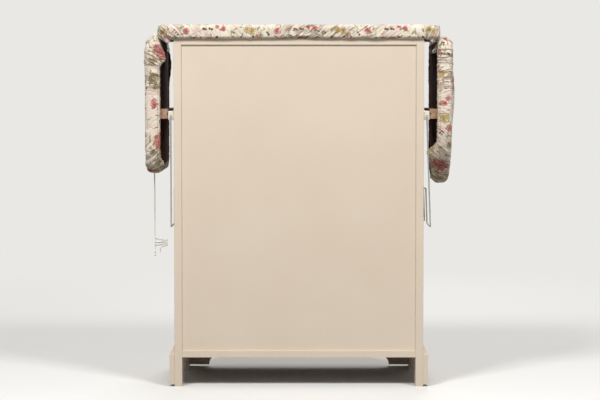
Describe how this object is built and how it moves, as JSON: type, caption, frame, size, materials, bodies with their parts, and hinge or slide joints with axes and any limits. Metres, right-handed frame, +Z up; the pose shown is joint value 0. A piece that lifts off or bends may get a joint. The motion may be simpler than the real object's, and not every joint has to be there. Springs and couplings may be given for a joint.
{
  "type": "sewing and pressing cabinet with drop leaves",
  "caption": "Cabinet with a padded ironing top, two padded drop leaves held by swinging wire props, a drawer over panelled doors and a bracket-foot plinth.",
  "frame": {"origin": "middle of the footprint on the floor", "axes": "+X along the width, +Y to the front with the drawer and doors, +Z up"},
  "size_m": [0.7592, 0.3956, 0.9],
  "materials": {
    "cream_paint": "satin cream paint",
    "rail_paint": "satin off-white paint",
    "dark_board": "dark stain",
    "raw_wood": "bare softwood",
    "cover_fabric": "printed cotton",
    "cotton_cord": "twisted cotton",
    "steel": "dull zinc",
    "catch": "matte"
  },
  "bodies": {
    "cabinet": {"side_panel_left": "cream_paint", "side_panel_right": "cream_paint", "top_board": "cream_paint", "bottom_board": "cream_paint", "back_panel": "cream_paint", "front_rail": "cream_paint", "drawer_rail": "cream_paint", "drawer_runner_left": "raw_wood", "drawer_runner_right": "raw_wood", "shelf": "cream_paint", "shelf_pegs": "steel", "plinth_board_left": "cream_paint", "plinth_board_right": "cream_paint", "plinth_board_front": "cream_paint", "plinth_cap_left": "cream_paint", "plinth_cap_right": "cream_paint", "plinth_cap_front": "cream_paint", "top_pad": "cover_fabric", "top_pad_board": "dark_board", "leaf_hinge_fixed": "steel", "leaf_hinge_pins": "steel", "side_rail_left": "rail_paint", "side_rail_right": "rail_paint", "side_rail_screws": "steel", "door_hinge_fixed": "steel", "door_hinge_pins": "steel", "door_catch": "catch"},
    "leaf_left": {"leaf_pad_left": "cover_fabric", "leaf_board_left": "dark_board", "leaf_batten_left": "raw_wood", "leaf_hinge_moving_left": "steel"},
    "leaf_right": {"leaf_pad_right": "cover_fabric", "leaf_board_right": "dark_board", "leaf_batten_right": "raw_wood", "leaf_hinge_moving_right": "steel", "drawstring_bow": "cotton_cord"},
    "prop_left": {"prop_wire_left": "steel"},
    "prop_right": {"prop_wire_right": "steel"},
    "drawstrings": {"drawstring_end": "cotton_cord", "drawstring_knot": "cotton_cord", "drawstring_wound": "cotton_cord", "drawstring_hank": "cotton_cord"},
    "door_left": {"door_frame_left": "cream_paint", "door_panel_left": "cream_paint", "door_knob_left": "cream_paint", "door_hinge_moving_left": "steel", "catch_plate_left": "steel"},
    "door_right": {"door_frame_right": "cream_paint", "door_panel_right": "cream_paint", "door_knob_right": "cream_paint", "door_hinge_moving_right": "steel", "catch_plate_right": "steel"},
    "drawer": {"drawer_front": "cream_paint", "drawer_side_left": "raw_wood", "drawer_side_right": "raw_wood", "drawer_back": "raw_wood", "drawer_floor": "raw_wood", "drawer_knobs": "cream_paint"}
  },
  "joints": [
    {"name": "leaf_left_hinge", "type": "hinge", "parent": "cabinet", "child": "leaf_left", "pos_m": [-0.34675, -0.00725, 0.86715], "axis": [0, 1, 0], "range_deg": [0, 90]},
    {"name": "leaf_right_hinge", "type": "hinge", "parent": "cabinet", "child": "leaf_right", "pos_m": [0.34675, -0.00725, 0.86715], "axis": [0, -1, 0], "range_deg": [0, 90]},
    {"name": "prop_left_swing", "type": "hinge", "parent": "cabinet", "child": "prop_left", "pos_m": [-0.317, -0.00725, 0.6755], "axis": [0, 1, 0], "range_deg": [0, 128.04]},
    {"name": "prop_right_swing", "type": "hinge", "parent": "cabinet", "child": "prop_right", "pos_m": [0.317, -0.00725, 0.6755], "axis": [0, -1, 0], "range_deg": [0, 126.04]},
    {"name": "drawstrings_hang", "type": "hinge", "parent": "leaf_left", "child": "drawstrings", "pos_m": [-0.36235, -0.12625, 0.5319], "axis": [0, 1, 0], "range_deg": [-90, 0]},
    {"name": "door_left_hinge", "type": "hinge", "parent": "cabinet", "child": "door_left", "pos_m": [-0.29, 0.17565, 0.39], "axis": [0, 0, 1], "range_deg": [0, 110]},
    {"name": "door_right_hinge", "type": "hinge", "parent": "cabinet", "child": "door_right", "pos_m": [0.29, 0.17565, 0.39], "axis": [0, 0, -1], "range_deg": [0, 110]},
    {"name": "drawer_slide", "type": "slide", "parent": "cabinet", "child": "drawer", "axis": [0, 1, 0], "range_m": [0, 0.24]}
  ],
  "couplings": [
    {"joint": "prop_left_swing", "follows": "leaf_left_hinge", "ratio": 1.4226},
    {"joint": "drawstrings_hang", "follows": "leaf_left_hinge", "ratio": -1},
    {"joint": "prop_right_swing", "follows": "leaf_right_hinge", "ratio": 1.4004}
  ]
}
